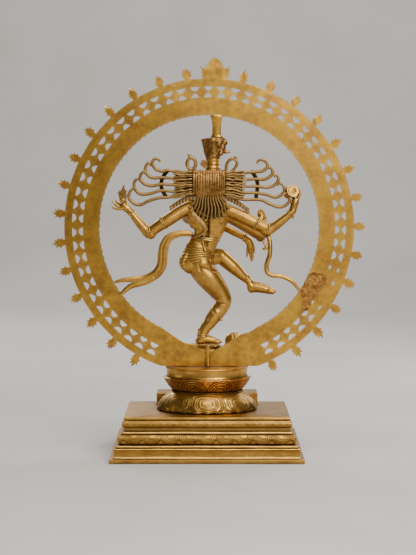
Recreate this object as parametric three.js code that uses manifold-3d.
// A brass Nataraja: a dancing four-armed figure inside an oval ring of flames, on an oval
// double-lotus pedestal and a stepped rectangular base.
// Millimetres, +Z up, origin at the middle of the underside of the base. The figure faces +Y,
// and +X is the figure's own right-hand side.
import * as THREE from "three";
import { mergeVertices } from "three/addons/utils/BufferGeometryUtils.js";
import Module from "manifold-3d";

const wasm = await Module();
wasm.setup();

// ---------------------------------------------------------------- driving dimensions
const GAP = 0.3; // clearance left between stacked castings
const CUT = 0.25; // clearance left where one casting is fitted round another
const BASE_WIDTH = 367;
const BASE_DEPTH = 270;
const BASE_HEIGHT = 84;
const PEDESTAL_TOP = 168;
const PEDESTAL_OVAL = 0.78; // depth of the pedestal as a share of its width
const PEDESTAL_WALL = 5;
const RING_CENTRE = new THREE.Vector2(4.1, 437);
const RING_OUTER = new THREE.Vector2(280, 286); // half width and half height of the outer edge
const RING_INNER = new THREE.Vector2(212, 215);
const RING_THICKNESS = 5;
const RING_NOTCH_FLOOR = 195;
const RING_LEAN = 2.4; // degrees by which the pattern is turned towards +X
const FLAME_PAIRS = 14;
const FLAME_PITCH = 10.9; // degrees
const FLAME_LENGTH = 26;
const FLAME_WIDTH = 20;
const TOP_FLAME_HEIGHT = 44;
const TOP_FLAME_WIDTH = 62;

const brass = (name, color, roughness) =>
  new THREE.MeshStandardMaterial({ name, color, roughness, metalness: 1 });
const polished = brass("polished_brass", 0xc79a45, 0.28);
const antique = brass("antique_brass", 0x9a6b3c, 0.45);
const satin = brass("satin_brass", 0xb58f4f, 0.4);
const ringBrass = brass("ring_brass", 0xb98f3c, 0.42);
const copper = brass("brazed_copper", 0x9c6040, 0.5);

const v3 = (x, y, z) => new THREE.Vector3(x, y, z);
const rad = THREE.MathUtils.degToRad;

// ---------------------------------------------------------------- solids
// A closed three.js geometry as a manifold solid.
function solid(geometry) {
  const bare = geometry.index ? geometry.toNonIndexed() : geometry.clone();
  bare.deleteAttribute("normal");
  bare.deleteAttribute("uv");
  const merged = mergeVertices(bare, 1e-3);
  return new wasm.Manifold(
    new wasm.Mesh({
      numProp: 3,
      vertProperties: merged.attributes.position.array,
      triVerts: new Uint32Array(merged.index.array),
    }),
  );
}

// A manifold solid as a three.js geometry.
function geometryOf(body) {
  const mesh = body.getMesh();
  const positions = new Float32Array(mesh.numVert * 3);
  for (let i = 0; i < mesh.numVert; i += 1) {
    positions.set(mesh.vertProperties.subarray(i * mesh.numProp, i * mesh.numProp + 3), i * 3);
  }
  const geometry = new THREE.BufferGeometry();
  geometry.setAttribute("position", new THREE.BufferAttribute(positions, 3));
  geometry.setIndex(new THREE.BufferAttribute(mesh.triVerts, 1));
  return geometry;
}

const joined = (bodies) => bodies.reduce((whole, next) => whole.add(next));
const largest = (body) => body.decompose().sort((a, b) => b.volume() - a.volume())[0];

// Moves every vertex of a geometry by a function of its position.
function sculpt(geometry, change) {
  const position = geometry.attributes.position;
  const point = v3(0, 0, 0);
  for (let i = 0; i < position.count; i += 1) {
    change(point.fromBufferAttribute(position, i));
    position.setXYZ(i, point.x, point.y, point.z);
  }
  return geometry;
}

// A box between two corners.
function block(low, high, grow = 0) {
  const size = high.clone().sub(low).addScalar(2 * grow);
  const centre = low.clone().add(high).multiplyScalar(0.5);
  return solid(new THREE.BoxGeometry(size.x, size.y, size.z).translate(centre.x, centre.y, centre.z));
}

// A turned solid along the line from a to b; profile holds [share of the length, radius] pairs,
// and flat squeezes it across the given direction.
function turned(a, b, profile, { grow = 0, sides = 10, flat = 1, across = v3(0, 1, 0) } = {}) {
  const length = a.distanceTo(b);
  const points = profile.map(([t, r]) => new THREE.Vector2(r + grow, t * length));
  points[0].y -= grow;
  points[points.length - 1].y += grow;
  const closed = [new THREE.Vector2(0, points[0].y), ...points, new THREE.Vector2(0, points.at(-1).y)];
  const geometry = new THREE.LatheGeometry(closed, sides);
  const along = b.clone().sub(a).normalize();
  const side = across.clone().projectOnPlane(along).normalize();
  const other = new THREE.Vector3().crossVectors(along, side);
  const frame = new THREE.Matrix4().makeBasis(other, along, side);
  geometry.scale(1, 1, flat).applyMatrix4(frame).translate(a.x, a.y, a.z);
  return solid(geometry);
}

// A limb with rounded ends that is thickest a third of the way along.
function limb(a, b, start, middle, end, options) {
  const profile = [
    [0, start * 0.62],
    [0.1, start],
    [0.38, middle],
    [0.9, end],
    [1, end * 0.62],
  ];
  return turned(a, b, profile, options);
}

// An ellipsoid.
function egg(centre, radii, { grow = 0, around = 12, up = 8, turn = 0 } = {}) {
  const geometry = new THREE.SphereGeometry(1, around, up).rotateX(Math.PI / 2);
  geometry.scale(radii.x + grow, radii.y + grow, radii.z + grow);
  geometry.rotateY(rad(turn)).translate(centre.x, centre.y, centre.z);
  return solid(geometry);
}

// A round bar that follows points.
function bar(points, radius, { steps = 10, sides = 6, grow = 0 } = {}) {
  const section = new THREE.Shape();
  for (let i = 0; i < sides; i += 1) {
    const angle = (i / sides) * 2 * Math.PI;
    const place = [(radius + grow) * Math.cos(angle), (radius + grow) * Math.sin(angle)];
    if (i === 0) section.moveTo(...place);
    else section.lineTo(...place);
  }
  const extrudePath = new THREE.CatmullRomCurve3(points);
  return solid(new THREE.ExtrudeGeometry(section, { steps, extrudePath, curveSegments: 1 }));
}

// A flat plate whose outline lies in the XZ plane, between two depths.
function plate(shape, near, far) {
  const geometry = new THREE.ExtrudeGeometry(shape, { depth: far - near, bevelEnabled: false });
  return solid(geometry.rotateX(Math.PI / 2).translate(0, far, 0));
}

// ---------------------------------------------------------------- assembly
const statue = new THREE.Group();
const placed = [];

// Adds one casting. make(grow) builds it, grown by a clearance where a later piece is cut by it.
function place(group, name, material, make) {
  let body = make(0);
  const box = body.boundingBox();
  for (const other of placed) {
    const apart = [0, 1, 2].some((k) => box.min[k] > other.box.max[k] || other.box.min[k] > box.max[k]);
    if (!apart) body = body.subtract(other.grown);
  }
  body = largest(body);
  const mesh = new THREE.Mesh(geometryOf(body), material);
  mesh.name = name;
  group.add(mesh);
  const grown = make(CUT);
  placed.push({ grown, box: grown.boundingBox() });
}

function section(name) {
  const group = new THREE.Group();
  group.name = name;
  statue.add(group);
  return group;
}

// ---------------------------------------------------------------- stepped base
// A rectangular course of the base: a hollow frame with a rounded or a square edge.
function course(width, depth, bottom, top, round, hollow) {
  return (grow) => {
    const soft = Math.min(round, (top - bottom) / 2 - 0.5);
    const shape = new THREE.Shape();
    const halfX = width / 2 - soft + grow;
    const halfY = depth / 2 - soft + grow;
    shape.moveTo(-halfX, -halfY).lineTo(halfX, -halfY).lineTo(halfX, halfY).lineTo(-halfX, halfY);
    const geometry = new THREE.ExtrudeGeometry(shape, {
      depth: top - bottom - 2 * soft + 2 * grow,
      bevelEnabled: soft > 0,
      bevelSize: soft,
      bevelThickness: soft,
      bevelSegments: 3,
    });
    const full = solid(geometry.translate(0, 0, bottom + soft - grow));
    if (!hollow) return full;
    const inside = v3(hollow / 2 - grow, (depth - width + hollow) / 2 - grow, 0);
    const low = v3(-inside.x, -inside.y, bottom - 5);
    return full.subtract(block(low, v3(inside.x, inside.y, top + 5)));
  };
}

const HOLLOW = BASE_WIDTH - 72; // width of the hollow under the base
function buildBase() {
  const group = section("stepped_base");
  const depthOf = (width) => width - (BASE_WIDTH - BASE_DEPTH);
  const courses = [
    ["base_foot", BASE_WIDTH, 0, 8.2, 0, satin],
    ["base_fascia", 354, 8.5, 27.2, 0, satin],
    ["base_ledge", 344, 27.5, 32, 1.5, satin],
    ["base_lotus_moulding", 337, 32.3, 51.7, 8, satin],
    ["base_fillet", 323, 52, 56.5, 1.5, satin],
    ["base_neck", 311, 56.8, 63.2, 0, antique],
    ["base_round_moulding", 321, 63.5, 78, 6.4, satin],
  ];
  for (const [name, width, bottom, top, round, material] of courses) {
    place(group, name, material, course(width, depthOf(width), bottom, top, round, HOLLOW));
  }
  const tieHole = turned(v3(0, 0, 70), v3(0, 0, 90), [[0, 6], [1, 6]]);
  place(group, "base_top_plate", satin, (grow) =>
    course(313, depthOf(313), 78.3, BASE_HEIGHT, 0, 0)(grow).subtract(tieHole),
  );
}

// ---------------------------------------------------------------- lotus pedestal
// A hollow oval course turned from an outline of [radius, height] points, with a wall inside.
function ovalShell(outline, wall) {
  return (grow) => {
    const outer = outline.map(([r, z]) => new THREE.Vector2(r + grow, z));
    outer[0].y -= grow;
    outer.at(-1).y += grow;
    const inner = outline.map(([r, z]) => new THREE.Vector2(r - wall - grow, z)).reverse();
    inner[0].y = outer.at(-1).y;
    inner.at(-1).y = outer[0].y;
    const geometry = new THREE.LatheGeometry([...outer, ...inner, outer[0].clone()], 30);
    return solid(geometry.rotateX(Math.PI / 2).scale(1, PEDESTAL_OVAL, 1));
  };
}

function buildPedestal() {
  const group = section("lotus_pedestal");
  const lower = [
    [90, BASE_HEIGHT + GAP],
    [98, 91],
    [98.5, 99],
    [91, 109],
    [78, 116.5],
    [68, 119.7],
  ];
  place(group, "lotus_lower_petals", polished, ovalShell(lower, PEDESTAL_WALL));
  place(group, "lotus_waist_cord", polished, ovalShell([[68.5, 120], [70.5, 121.4], [68.5, 122.8]], PEDESTAL_WALL));
  const upper = [
    [67.5, 123.1],
    [74, 133],
    [82, 143],
    [86, 146],
    [85, 148.2],
    [81, 149],
  ];
  place(group, "lotus_upper_petals", polished, ovalShell(upper, PEDESTAL_WALL));
  place(group, "pedestal_drum", polished, (grow) => {
    const radius = 80.5 + grow;
    const floor = 149.3 - grow;
    const top = PEDESTAL_TOP + grow;
    const bore = 6 - grow;
    const ceiling = PEDESTAL_TOP - PEDESTAL_WALL - grow;
    const profile = [
      [bore, ceiling],
      [radius - PEDESTAL_WALL - 2 * grow, ceiling],
      [radius - PEDESTAL_WALL - 2 * grow, floor],
      [radius, floor],
      [radius, top - 2.5],
      [radius - 2.5, top],
      [bore, top],
      [bore, ceiling],
    ].map(([r, z]) => new THREE.Vector2(r, z));
    return solid(new THREE.LatheGeometry(profile, 30).rotateX(Math.PI / 2).scale(1, PEDESTAL_OVAL, 1));
  });
  place(group, "front_block", satin, (grow) =>
    block(v3(-100, 40, BASE_HEIGHT + GAP), v3(100, 100, 110), grow)
      .subtract(solid(new THREE.CylinderGeometry(99.5, 99.5, 60, 30).rotateX(Math.PI / 2)
        .scale(1, PEDESTAL_OVAL, 1).translate(0, 0, 100))),
  );
  const rod = [[0, 5], [1, 5]];
  place(group, "tie_rod", copper, (grow) =>
    turned(v3(0, 0, 60), v3(0, 0, PEDESTAL_TOP - 1), rod, { grow, sides: 12 }),
  );
  place(group, "tie_nut", copper, (grow) =>
    turned(v3(0, 0, 70), v3(0, 0, 77.9), [[0, 10], [1, 10]], { grow, sides: 6 }),
  );
}

// ---------------------------------------------------------------- ring of flames
const onRing = (radii, angle, beyond = 0) =>
  new THREE.Vector2(
    RING_CENTRE.x + (radii.x + beyond) * Math.sin(rad(angle)),
    RING_CENTRE.y + (radii.y + beyond) * Math.cos(rad(angle)),
  );

// The outline points of a flame: [degrees from its axis, height above the rim].
function flamePoints(axis) {
  const half = ((FLAME_WIDTH / 2) * 180) / (Math.PI * RING_OUTER.x);
  return [
    [-0.6, 0],
    [-0.45, 0.3],
    [-1, 0.72],
    [-0.2, 0.8],
    [0.1, 1],
    [0.9, 0.72],
    [0.45, 0.3],
    [0.6, 0],
  ].map(([across, up]) => onRing(RING_OUTER, axis + across * half, up * FLAME_LENGTH));
}

function ringShape() {
  const shape = new THREE.Shape();
  const outer = [];
  const span = FLAME_PITCH * (FLAME_PAIRS + 0.25);
  const cut = PEDESTAL_TOP + GAP;
  for (let k = -FLAME_PAIRS; k <= FLAME_PAIRS; k += 1) {
    const axis = RING_LEAN + k * FLAME_PITCH;
    if (k === 0) outer.push(onRing(RING_OUTER, axis));
    else outer.push(...flamePoints(axis));
    if (k < FLAME_PAIRS) outer.push(onRing(RING_OUTER, axis + FLAME_PITCH / 2));
  }
  const side = Math.sqrt(1 - ((cut - RING_CENTRE.y) / RING_OUTER.y) ** 2) * RING_OUTER.x;
  outer.push(onRing(RING_OUTER, RING_LEAN + span + 1.5));
  outer.push(new THREE.Vector2(RING_CENTRE.x + side, cut));
  outer.push(new THREE.Vector2(RING_CENTRE.x - side, cut));
  outer.push(onRing(RING_OUTER, RING_LEAN - span - 3));
  shape.setFromPoints(outer.reverse());
  const inner = [];
  for (let angle = -160; angle <= 160; angle += 8) inner.push(onRing(RING_INNER, angle));
  inner.push(new THREE.Vector2(-4, RING_NOTCH_FLOOR));
  shape.holes.push(new THREE.Path(inner));
  return shape;
}

// The two rows of D-shaped openings, set base to base across the middle of the band.
function addOpenings(shape) {
  const middle = RING_INNER.clone().lerp(RING_OUTER, 0.6);
  const pitch = FLAME_PITCH / 2;
  const half = pitch * 0.34;
  for (let k = -27.5; k <= 27.5; k += 1) {
    const axis = RING_LEAN + k * pitch;
    for (const side of [1, -1]) {
      const corners = [
        [-half, 11],
        [half, 11],
        [half * 0.62, 4.5],
        [-half * 0.62, 4.5],
      ];
      const path = new THREE.Path(corners.map(([across, up]) => onRing(middle, axis + across, side * up)));
      shape.holes.push(path);
    }
  }
}

function topFlameShape() {
  const half = TOP_FLAME_WIDTH / 2;
  const foot = onRing(RING_OUTER, RING_LEAN);
  const rim = (x) => foot.y + GAP - (x * x) / (2 * RING_OUTER.y);
  const profile = [
    [-0.72, 0],
    [-0.8, 0.3],
    [-1, 0.62],
    [-0.55, 0.45],
    [-0.42, 0.62],
    [0, 1],
    [0.42, 0.62],
    [0.55, 0.45],
    [1, 0.62],
    [0.8, 0.3],
    [0.72, 0],
    [0.36, 0],
    [0, 0],
    [-0.36, 0],
  ];
  return new THREE.Shape(
    profile.map(([x, up]) => new THREE.Vector2(foot.x + x * half, rim(x * half) + up * TOP_FLAME_HEIGHT)),
  );
}

function buildRing() {
  const group = section("ring_of_flames");
  const shape = ringShape();
  addOpenings(shape);
  const half = RING_THICKNESS / 2;
  place(group, "flame_ring", ringBrass, (grow) => plate(shape, -half - grow, half + grow));
  place(group, "top_flame", ringBrass, (grow) => plate(topFlameShape(), -half - grow, half + grow));
  place(group, "ring_repair_patch", ringBrass, (grow) => {
    const outline = [[180, 312], [190, 298], [206, 300], [222, 322], [220, 345], [204, 352], [198, 335], [186, 322]];
    const across = new THREE.Shape(outline.map((corner) => new THREE.Vector2(...corner)));
    return plate(across, -half - 2.2 - grow, -half - GAP + grow);
  });
  place(group, "crown_strut", ringBrass, (grow) =>
    turned(v3(19, 4, 605), v3(18.6, 0, 651), [[0, 10], [0.3, 8.7], [0.75, 9.5], [1, 12]], {
      grow,
      sides: 8,
      flat: 0.45,
    }),
  );
}

// ---------------------------------------------------------------- the dwarf underfoot
function buildDwarf() {
  const group = section("dwarf");
  const deck = PEDESTAL_TOP + GAP;
  place(group, "dwarf_body", antique, (grow) => {
    const trunk = egg(v3(-14, 27, 190), v3(50, 19, 20), { grow, turn: 4 });
    const under = block(v3(-90, -60, 100), v3(90, 90, deck - grow));
    return trunk.subtract(under);
  });
  place(group, "dwarf_head", antique, (grow) => egg(v3(54, 24, 213), v3(19, 16, 19), { grow }));
  place(group, "dwarf_arms", antique, (grow) =>
    joined([
      limb(v3(28, 34, 192), v3(56, 40, 178), 8, 7, 6, { grow, sides: 8 }),
      limb(v3(54, 40, 178), v3(40, 50, 175), 6, 6, 5, { grow, sides: 8 }),
    ]),
  );
  place(group, "dwarf_legs", antique, (grow) =>
    joined([
      limb(v3(-50, 30, 184), v3(-68, 38, 181), 11, 10, 8, { grow, sides: 8 }),
      limb(v3(-66, 38, 181), v3(-46, 46, 178), 8, 8, 6, { grow, sides: 8 }),
    ]),
  );
}

// ---------------------------------------------------------------- the dancer
// Joint centres.
const JOINTS = {
  hipStanding: v3(-12, 9, 368),
  kneeStanding: v3(32, 10, 298),
  ankleStanding: v3(-8, 5, 231),
  hipRaised: v3(-20, 20, 380),
  kneeRaised: v3(27, 40, 380),
  ankleRaised: v3(82, 42, 331),
  toeRaised: v3(136, 42, 311),
  rearLeftShoulder: v3(-36, 2, 474),
  rearLeftElbow: v3(-111, -6, 427),
  rearLeftWrist: v3(-146, -8, 467),
  rearRightShoulder: v3(38, 2, 470),
  rearRightElbow: v3(118, -6, 435),
  rearRightWrist: v3(164, -8, 466),
  frontRightShoulder: v3(36, 16, 460),
  frontRightElbow: v3(104, 16, 420),
  frontRightWrist: v3(105, 42, 442),
  frontLeftShoulder: v3(-34, 20, 468),
  frontLeftElbow: v3(-38, 54, 452),
  frontLeftWrist: v3(73, 42, 416),
};

// Half width, half depth and middle of the trunk at each height.
const TRUNK = [
  { z: 356, x: -12, wide: 17, deep: 15 },
  { z: 370, x: -12, wide: 27, deep: 22 },
  { z: 388, x: -10, wide: 27, deep: 19 },
  { z: 404, x: -8, wide: 26, deep: 16 },
  { z: 418, x: -1, wide: 26, deep: 16 },
  { z: 434, x: 2, wide: 31, deep: 18 },
  { z: 452, x: 2, wide: 42, deep: 20 },
  { z: 470, x: 1, wide: 43, deep: 20 },
  { z: 485, x: 0, wide: 36, deep: 15 },
  { z: 492, x: 0, wide: 20, deep: 12 },
];
const TRUNK_DEPTH = 8; // how far the trunk's axis stands in front of the ring

function trunk(grow) {
  const outline = TRUNK.map(({ z }) => new THREE.Vector2(1, z));
  const first = new THREE.Vector2(0, TRUNK[0].z);
  const last = new THREE.Vector2(0, TRUNK.at(-1).z);
  const geometry = new THREE.LatheGeometry([first, ...outline, last], 14).rotateX(Math.PI / 2);
  sculpt(geometry, (p) => {
    const level = TRUNK.find(({ z }) => Math.abs(z - p.z) < 1e-3);
    p.x = level.x + p.x * (level.wide + grow);
    p.y = TRUNK_DEPTH + p.y * (level.deep + grow);
    if (level === TRUNK[0]) p.z -= grow;
    if (level === TRUNK.at(-1)) p.z += grow;
  });
  return solid(geometry);
}

// A hand: a palm and fingers that spread from the wrist along the given directions.
function hand(wrist, palmEnd, fingers, palmRadius, fingerRadius) {
  return (grow) => {
    const bodies = [limb(wrist, palmEnd, palmRadius * 0.8, palmRadius, palmRadius, { grow, sides: 8, flat: 0.6 })];
    const root = wrist.clone().lerp(palmEnd, 0.7);
    for (const tip of fingers) {
      const profile = [[0, fingerRadius], [0.7, fingerRadius * 0.9], [1, fingerRadius * 0.5]];
      bodies.push(turned(root, tip, profile, { grow, sides: 6 }));
    }
    return joined(bodies);
  };
}

function buildHead(group) {
  place(group, "head", polished, (grow) => egg(v3(4, 14, 525), v3(20, 22, 27), { grow }));
  place(group, "neck", polished, (grow) =>
    turned(v3(0, 9, 488), v3(3, 11, 506), [[0, 13], [1, 12]], { grow }));
  place(group, "crown_collar", antique, (grow) =>
    turned(v3(8, 9, 545), v3(11, 8, 569.5), [[0, 14], [0.4, 12], [0.5, 13.5], [1, 12.5]], { grow, sides: 12 }));
  place(group, "tall_crown", antique, (grow) => {
    const flare = [[0, 12], [0.35, 14], [1, 24]];
    const cup = turned(v3(12, 8, 570), v3(13, 8, 609), flare, { grow, sides: 12, flat: 0.7 });
    const mouth = [[0, 8], [1, 19]];
    return cup.subtract(turned(v3(13, 8, 597), v3(13, 8, 611), mouth, { sides: 12, flat: 0.6 }));
  });
  place(group, "hair_band", antique, (grow) => block(v3(-28, -21, 498), v3(36, -9, 550), grow));
}

// The middle lines of the five locks of one side of the hair: [distance from the middle, height].
const LOCKS = [
  [[60, 539], [78, 544], [93, 545], [104, 549], [109, 557], [106, 565], [98, 567]],
  [[60, 530], [88, 531], [105, 531], [117, 537], [122, 546], [117, 554]],
  [[60, 517], [90, 518], [110, 516], [124, 519], [132, 528], [127, 539]],
  [[60, 505], [90, 506], [112, 501], [130, 498], [140, 504], [144, 514], [138, 524]],
  [[60, 495], [86, 492], [104, 489], [122, 483], [138, 479], [149, 484], [154, 496], [147, 507]],
];
const HAIR_MIDDLE = 4;
const LOCK_WIDTH = 4.6;

// A strip of even width along a middle line, as an outline.
function strip(points, width) {
  const places = points.map(([x, z]) => new THREE.Vector2(x, z));
  const sides = places.map((place, i) => {
    const before = places[Math.max(i - 1, 0)];
    const after = places[Math.min(i + 1, places.length - 1)];
    const along = after.clone().sub(before).normalize();
    return new THREE.Vector2(-along.y, along.x).multiplyScalar(width / 2);
  });
  const left = places.map((place, i) => place.clone().add(sides[i]));
  const right = places.map((place, i) => place.clone().sub(sides[i]));
  return new THREE.Shape([...left, ...right.reverse()]);
}

// One side of the spreading hair: a combed root, five locks that end in curls, and a cross tie.
function hairWing(side) {
  return (grow) => {
    const place = ([reach, z]) => [HAIR_MIDDLE + side * reach, z];
    const root = new THREE.Shape(
      [[33, 500], [68, 491], [68, 541], [33, 546]].map((corner) => new THREE.Vector2(...place(corner))),
    );
    const tie = strip([[84, 489], [91, 520], [86, 547]].map(place), 5.5);
    const strands = LOCKS.map((points) => strip(points.map(place), LOCK_WIDTH + 2 * grow));
    return joined([root, tie, ...strands].map((shape) => plate(shape, -16 - grow, -10 + grow)));
  };
}

function buildHair(group) {
  place(group, "hair_wing_right", antique, hairWing(1));
  place(group, "hair_wing_left", antique, hairWing(-1));
  // A crest loop stands on the hair beside the crown: a flattened ring, open at its foot.
  const loop = (x, z, side) => (grow) => {
    const turns = [-60, 10, 60, 100, 140, 200, 250].map((angle) => rad(angle));
    const points = turns.map((angle) => v3(x - side * 10 * Math.cos(angle), -13, z + 12 * Math.sin(angle)));
    return bar([...points, v3(x + side * 3, -13, 543)], 3, { steps: 12, sides: 5, grow });
  };
  place(group, "crest_loop_left", antique, loop(-30, 561, 1));
  place(group, "crest_loop_right", antique, loop(46, 560, -1));
  place(group, "nape_locks", antique, (grow) => {
    const fan = [new THREE.Vector2(-16, 497)];
    for (let k = 0; k <= 10; k += 1) {
      const angle = rad(190 + k * 16);
      const reach = k % 2 ? 34 : 29;
      const drop = 1.15;
      fan.push(new THREE.Vector2(4 + reach * Math.cos(angle), 489 + drop * reach * Math.sin(angle)));
    }
    fan.push(new THREE.Vector2(22, 497));
    return plate(new THREE.Shape(fan), -21 - grow, -14 + grow);
  });
}

function buildArms(group) {
  const j = JOINTS;
  const upper = { sides: 12 };
  const arms = [
    ["rear_right_upper_arm", j.rearRightShoulder, j.rearRightElbow, 12.5, 11.5, 9.6],
    ["rear_right_forearm", j.rearRightElbow, j.rearRightWrist, 9.4, 9, 6.6],
    ["rear_left_upper_arm", j.rearLeftShoulder, j.rearLeftElbow, 12.5, 11.5, 9.6],
    ["rear_left_forearm", j.rearLeftElbow, j.rearLeftWrist, 9.4, 8.8, 6],
    ["front_right_upper_arm", j.frontRightShoulder, j.frontRightElbow, 13, 12.5, 9.6],
    ["front_right_forearm", j.frontRightElbow, j.frontRightWrist, 9.4, 8.4, 6.4],
    ["front_left_upper_arm", j.frontLeftShoulder, j.frontLeftElbow, 12, 11, 9],
    ["front_left_forearm", j.frontLeftElbow, j.frontLeftWrist, 9, 8.6, 6.4],
  ];
  for (const [name, a, b, r1, r2, r3] of arms) {
    place(group, name, polished, (grow) => limb(a, b, r1, r2, r3, { ...upper, grow }));
  }
  place(group, "hand_with_drum", polished, hand(
    v3(165, -8, 468), v3(169, -8, 484), [v3(177, -10, 508), v3(170, -2, 500), v3(154, -14, 494)], 7, 2.6));
  const drumProfile = [[0, 12.2], [0.12, 12.2], [0.5, 5.5], [0.88, 12.2], [1, 12.2]];
  place(group, "drum", polished, (grow) =>
    turned(v3(165, -22, 508), v3(157, 8, 503), drumProfile, { grow, sides: 14 }));
  place(group, "hand_with_fire", polished, hand(
    v3(-147, -8, 468), v3(-159, -8, 478), [v3(-181, -10, 487), v3(-181, -6, 476), v3(-155, -4, 488)], 7, 2.8));
  place(group, "fire_in_hand", antique, (grow) => {
    const outline = [
      [-155, 489], [-153, 509], [-157, 511], [-157, 519.5], [-162, 511],
      [-170, 511], [-173, 506], [-170, 501], [-168, 489],
    ];
    return plate(new THREE.Shape(outline.map((p) => new THREE.Vector2(...p))), -11 - grow, -5 + grow);
  });
  place(group, "blessing_hand", polished, hand(
    v3(105, 43, 444), v3(105, 46, 455), [v3(101, 46, 469), v3(106, 46, 471), v3(112, 45, 464)], 7.5, 3));
  place(group, "pointing_hand", polished, hand(
    v3(75, 42, 415), v3(84, 42, 403), [v3(92, 43, 370), v3(86, 42, 368), v3(78, 44, 377)], 7, 3));
}

function buildLegs(group) {
  const j = JOINTS;
  place(group, "standing_thigh", polished, (grow) =>
    limb(j.hipStanding, j.kneeStanding, 21, 20, 14, { grow, sides: 14 }));
  place(group, "standing_shin", polished, (grow) =>
    limb(j.kneeStanding, j.ankleStanding, 14, 13.5, 9, { grow, sides: 12 }));
  place(group, "standing_foot", polished, (grow) => {
    const sole = block(v3(-40, -40, 180), v3(50, 60, 211 - grow));
    const shape = joined([
      limb(v3(-23, 8, 218), v3(26, 2, 214), 8.5, 8, 6.5, { grow, sides: 10 }),
      limb(j.ankleStanding, v3(-8, 6, 213), 9, 9, 8, { grow, sides: 10 }),
    ]);
    return shape.subtract(sole);
  });
  place(group, "raised_thigh", polished, (grow) =>
    limb(j.hipRaised, j.kneeRaised, 17, 16, 13.5, { grow, sides: 14 }));
  place(group, "raised_shin", polished, (grow) =>
    limb(j.kneeRaised, j.ankleRaised, 13, 12, 7, { grow, sides: 12 }));
  place(group, "raised_foot", polished, (grow) =>
    joined([
      limb(v3(84, 42, 316), j.toeRaised, 8.5, 8, 5.5, { grow, sides: 10 }),
      limb(v3(83.5, 42, 329.5), v3(90, 42, 316), 7, 7.5, 8, { grow, sides: 10 }),
    ]));
  place(group, "support_post", copper, (grow) =>
    block(v3(-3, -9, PEDESTAL_TOP + GAP), v3(6, -RING_THICKNESS / 2 - GAP, 210.7), grow));
}

function buildDress(group) {
  place(group, "waist_cloth", polished, (grow) =>
    turned(v3(-20, 9, 358), v3(-13, 8, 400), [[0, 26], [0.3, 33], [0.7, 30], [1, 26]], { grow, sides: 14, flat: 0.85 }));
  place(group, "waist_belt", polished, (grow) =>
    turned(v3(-1, 8, 411), v3(0, 8, 417), [[0, 26.6], [0.5, 27.6], [1, 27]], { grow, sides: 16, flat: 0.72 }));
  const threadPath = [
    v3(-30, -10, 485), v3(-31, -14, 477), v3(-28, -16, 465), v3(-16, -17, 453), v3(-6, -17, 444),
    v3(-3, -16, 434), v3(-9, -14, 420), v3(-9, -13, 404), v3(0, -14, 392),
  ];
  place(group, "sacred_thread", polished, (grow) => bar(threadPath, 3, { steps: 12, sides: 5, grow }));
  place(group, "scarf", polished, (grow) => {
    const fork = v3(-98, 1, 347);
    const fall = [
      v3(-30, 4, 424), v3(-47, 4, 425), v3(-62, 4, 422), v3(-74, 3, 415),
      v3(-82, 3, 400), v3(-85, 3, 374), v3(-87, 2, 361), fork,
    ];
    const upperTail = [fork, v3(-112, 1, 339.5), v3(-140, 0, 338), v3(-177, 0, 331)];
    const lowerTail = [fork, v3(-115, 1, 333), v3(-145, 0, 325), v3(-168, 0, 305)];
    return joined([
      bar(fall, 6, { steps: 14, grow }),
      bar(upperTail, 3.6, { steps: 5, grow }),
      bar(lowerTail, 3.6, { steps: 5, grow }),
    ]);
  });
  place(group, "arm_serpent", polished, (grow) => {
    const body = [
      v3(118, 8, 422), v3(121, 6, 411), v3(122, 5, 399), v3(118, 4, 383), v3(114, 3, 362),
      v3(117, 2, 350), v3(127, 2, 344), v3(145, 1, 342), v3(160, 0, 337), v3(171, 0, 327), v3(178, 0, 315),
    ];
    const hook = [v3(120, 8, 405), v3(113, 8, 402), v3(107, 8, 395)];
    return joined([bar(body, 3.2, { steps: 18, sides: 5, grow }), bar(hook, 2.2, { steps: 3, sides: 5, grow })]);
  });
}

// ---------------------------------------------------------------- build order
// The first piece at each joint keeps its whole shape, and later ones are cut back from it.
buildBase();
buildPedestal();
buildRing();
buildDwarf();
const figure = section("dancer");
place(figure, "torso", polished, trunk);
buildHead(figure);
buildArms(figure);
buildLegs(figure);
buildDress(figure);
buildHair(figure);

export default statue;
